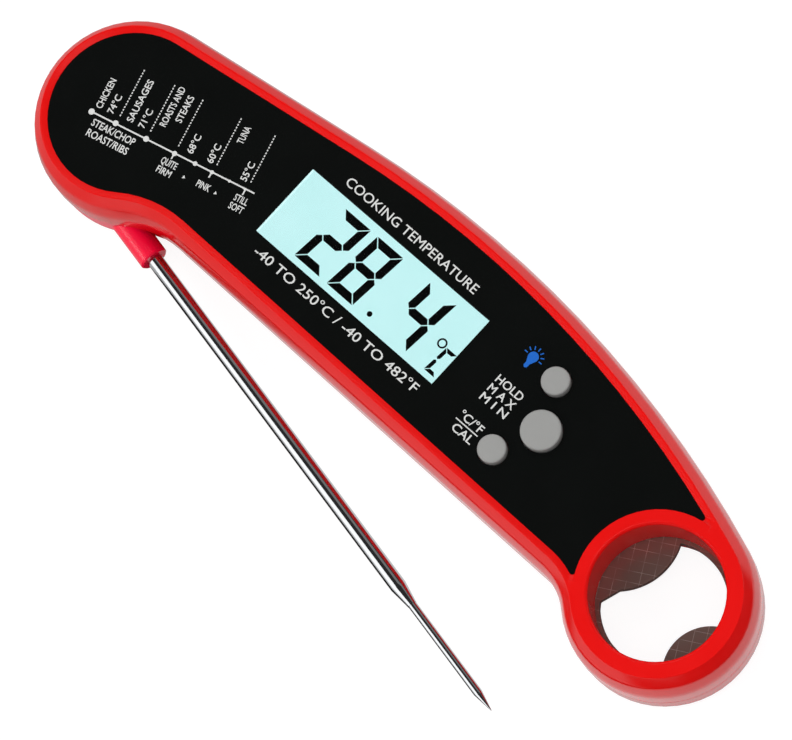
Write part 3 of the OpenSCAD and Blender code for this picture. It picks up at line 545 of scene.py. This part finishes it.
def figure(sign, left, bottom, width, height, thick, slant=0.095, gap=0.14):
    t, half = thick, thick / 2
    mid = height / 2
    near, far = t + gap, width - t - gap
    outline = {
        "a": [(gap, height), (width - gap, height), (far, height - t), (near, height - t)],
        "d": [(gap, 0), (near, t), (far, t), (width - gap, 0)],
        "g": [(half + gap, mid), (near, mid + half), (far, mid + half), (width - half - gap, mid),
              (far, mid - half), (near, mid - half)],
        "b": [(width, height - gap), (width - t, height - near), (width - t, mid + half + gap),
              (width - half, mid + gap), (width, mid + half)],
        "c": [(width, gap), (width, mid - half), (width - half, mid - gap),
              (width - t, mid - half - gap), (width - t, near)],
        "f": [(0, height - gap), (0, mid + half), (half, mid + gap), (t, mid + half + gap),
              (t, height - near)],
        "e": [(0, gap), (t, near), (t, mid - half - gap), (half, mid - gap), (0, mid - half)],
    }
    return [[(left + x + slant * y, bottom + y) for x, y in outline[s]] for s in SEGMENTS[sign]]


# %% Figures on the display
glass_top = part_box("lcd_cell")[1].z / MM
segment_top = glass_top + 0.04
large = {"bottom": 0.25, "width": 6.75, "height": 12.9, "thick": 1.65}
small = {"bottom": 0.15, "width": 2.7, "height": 5.75, "thick": 0.75, "gap": 0.1}
point_at, point_radius = (62.9, 1.2), 0.55
shown = figure("2", 44.0, **large) + figure("8", 52.5, **large) + figure("4", 66.3, **large)
shown += [disc(point_at, point_radius)] + figure("C", 77.9, **small)
# Dyed crystal behind glass: flat black that mirrors nothing, so its IOR is next to that of air.
segment_black = finish("display segment", "#050607", "#090A0B", (0.45, 0.55), patch_mm=20.0,
                       bump=0.0, IOR=1.05)
prisms("display_segments", shown, glass_top, segment_top, segment_black)

# %% [markdown]
# The degree sign is a ring. A prism can't have a hole, so four rims of points are joined by hand.

# %% Degree ring on the display
degree = bmesh.new()
degree_at, degree_radii, degree_steps = (77.25, 5.95), (0.66, 1.0), 28
(low_in, low_out), (high_in, high_out) = [
    [[degree.verts.new(Vector((x, y, z)) * MM) for x, y in disc(degree_at, radius, degree_steps)]
     for radius in degree_radii] for z in (glass_top, segment_top)]
for k in range(degree_steps):
    n = (k + 1) % degree_steps
    degree.faces.new((high_in[k], high_out[k], high_out[n], high_in[n]))
    degree.faces.new((low_in[k], low_in[n], low_out[n], low_out[k]))
    degree.faces.new((low_out[k], low_out[n], high_out[n], high_out[k]))
    degree.faces.new((low_in[k], high_in[k], high_in[n], low_in[n]))
piece("display_degree", degree, segment_black, "housing")

# %% [markdown]
# ## Print on the face
#
# Screen print is a layer of ink a few hundredths of a millimetre thick. Words and numbers come
# from the built-in typeface, turned into closed meshes and scaled to a cap height and a length in
# millimetres. All words are plain ones for the kitchen and for the keys.

# %% Lettering
panel_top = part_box("front_panel")[1].z / MM
INK = 0.02
# Capitals take up this share of the typeface's size.
CAP_SHARE = 0.69


def lettering(target, words, at, cap, length, angle=0.0, thicken=0.0):
    curve = bpy.data.curves.new("words", "FONT")
    curve.body, curve.size, curve.extrude, curve.resolution_u = words, 1.0, 0.5, 3
    curve.offset = thicken
    holder = bpy.data.objects.new("words", curve)
    bpy.context.scene.collection.objects.link(holder)
    evaluated = holder.evaluated_get(bpy.context.evaluated_depsgraph_get())
    flat = bpy.data.meshes.new_from_object(evaluated)
    bpy.data.objects.remove(holder)
    bpy.data.curves.remove(curve)
    xs = [v.co.x for v in flat.vertices]
    wide, tall = length / (max(xs) - min(xs)), cap / CAP_SHARE
    flat.transform(Matrix.Translation(Vector((at[0], at[1], panel_top + INK / 2)) * MM)
                   @ Matrix.Rotation(math.radians(angle), 4, "Z")
                   @ Matrix.Diagonal((wide * MM, tall * MM, INK * MM, 1))
                   @ Matrix.Translation((-min(xs), 0, 0)))
    target.from_mesh(flat)
    bpy.data.meshes.remove(flat)


# %% Inks
# Opaque ink, matt and a little uneven where the screen's threads were.
ink_white = finish("screen print white", "#D6D7D5", "#E4E5E3", (0.4, 0.5), patch_mm=0.5, bump=0.0,
                   IOR=1.5)
ink_blue = finish("screen print blue", "#0060C4", "#0A6CD2", (0.4, 0.5), patch_mm=0.5, bump=0.0,
                  IOR=1.5)
print("print stands on the panel at", round(panel_top, 2), "mm")

# %% [markdown]
# A title and the range stand above and below the display, and short labels beside the keys. The
# small ones are thickened, as ink spreads more in fine strokes.

# %% Words beside the display and the keys
weld_print = 1e-7
labels = bmesh.new()
for text, at, cap, length, thicken in (
        ("COOKING TEMPERATURE", (42.0, 16.5), 1.9, 33.5, 0.004),
        ("-40 TO 250°C / -40 TO 482°F", (37.9, -4.6), 1.9, 42.0, 0.004),
        ("HOLD", (89.75, 7.05), 1.6, 6.3, 0.01),
        ("M A X", (89.75, 4.85), 1.6, 6.3, 0.01),
        ("M I N", (89.75, 2.7), 1.6, 6.3, 0.01),
        ("°C/°F", (89.2, -2.25), 1.6, 5.4, 0.01),
        ("CAL", (89.75, -4.95), 1.6, 4.8, 0.01)):
    lettering(labels, text, at, cap, length, thicken=thicken)
bmesh.ops.remove_doubles(labels, verts=labels.verts, dist=weld_print)
piece("print_labels", labels, ink_white, "housing")

# %% [markdown]
# The cooking guide on the hinge head has a sloping scale. Some words run along it, and others
# stand up from it beside dotted lines.

# %% Cooking guide
along_scale, up_from_scale = 13.5, 105.6
guide_cap, heading_cap, guide_thicken = 1.35, 1.45, 0.012
guide = bmesh.new()
for cap, angle, texts in (
        (guide_cap, up_from_scale, (
            ("CHICKEN", (-4.6, -3.0), 6.3), ("74°C", (-2.1, -2.3), 3.9),
            ("SAUSAGES", (2.0, -1.1), 9.0), ("71°C", (4.6, -0.5), 3.9),
            ("ROASTS AND", (7.6, 2.4), 8.4), ("STEAKS", (9.4, 4.9), 5.6),
            ("68°C", (15.4, 1.9), 3.9), ("60°C", (19.7, 3.0), 3.9),
            ("TUNA", (21.6, 9.5), 3.6), ("55°C", (27.2, 4.6), 3.9))),
        (heading_cap, along_scale, (
            ("STEAK/CHOP", (-4.0, -6.6), 9.6), ("ROAST/RIBS", (-3.4, -8.7), 9.2))),
        (guide_cap, along_scale, (
            ("QUITE", (11.7, -3.3), 3.4), ("FIRM", (12.2, -5.1), 3.1), ("PINK", (20.2, -2.2), 2.9),
            ("STILL", (27.7, 0.5), 2.9), ("SOFT", (28.0, -1.3), 3.0)))):
    for text, at, length in texts:
        lettering(guide, text, at, cap, length, angle, guide_thicken)
bmesh.ops.remove_doubles(guide, verts=guide.verts, dist=weld_print)
piece("print_guide_words", guide, ink_white, "housing")

# %% [markdown]
# The scale is a line with round stations, ticks below it and small arrows between the words. The
# dotted lines are rows of short bars. Stations lie over the line, so they are a piece of their own
# and stand a little higher.

# %% Lines and arrows
scale_start, scale_end, scale_width = (-5.72, -4.58), (30.03, 4.01), 0.3
under_start, under_end, under_width = (89.1, -2.8), (94.6, -2.8), 0.22
tick_x, tick_y, tick_width = 0.25, -1.1, 0.28
arrow_long, arrow_half = 0.55, 0.38
marks = [bar(scale_start, scale_end, scale_width), bar(under_start, under_end, under_width)]
marks += [bar((x, y), (x + tick_x, y + tick_y), tick_width)
          for x, y in ((12.65, -0.3), (20.83, 1.7), (28.2, 3.4))]
marks += [[(x, y - arrow_half), (x + arrow_long, y), (x, y + arrow_half)]
          for x, y in ((17.1, -2.45), (24.0, -0.8))]
print("lines, ticks and arrows:", len(marks))

# %% Dotted lines
rise = heading(106)
dots, dotted_length, dot_long, dot_wide = 17, 10.4, 0.34, 0.24
for foot in ((-0.78, -1.69), (5.96, -0.07), (12.23, 1.3), (20.56, 3.4), (27.99, 5.13)):
    for k in range(dots):
        dot = Vector(foot) + rise * (k * dotted_length / dots)
        marks.append(bar(dot, dot + rise * dot_long, dot_wide))
prisms("print_marks", marks, panel_top, panel_top + INK, ink_white)

# %% Stations
stations = [disc(at, radius) for at, radius in (
    (scale_start, 0.62), ((-0.44, -3.25), 0.58), ((6.34, -1.67), 0.58), ((12.65, -0.21), 0.5),
    ((17.11, 0.91), 0.45), ((20.83, 1.77), 0.4), ((24.65, 2.67), 0.28), ((28.09, 3.45), 0.28))]
prisms("print_stations", stations, panel_top, panel_top + 1.5 * INK, ink_white)

# %% [markdown]
# The sign for the backlight is a plain bulb with rays, in blue ink: most of a circle, the outline
# of a socket, and seven bars.

# %% Lamp sign
bulb, bulb_radius = Vector((92.2, 14.95)), 1.05
ray_from, ray_to, ray_width = 1.4, 2.1, 0.22
socket = ((-0.42, -1.5), (-0.42, -2.2), (0, -2.5), (0.42, -2.2), (0.42, -1.5))
bulb_outline = [bulb + bulb_radius * heading(a) for a in range(-30, 211, 15)]
bulb_outline += [bulb + Vector(p) for p in socket]
sign = [[tuple(p) for p in bulb_outline]]
sign += [bar(bulb + heading(a) * ray_from, bulb + heading(a) * ray_to, ray_width)
         for a in range(0, 181, 30)]
prisms("print_lamp", sign, panel_top, panel_top + INK, ink_blue)
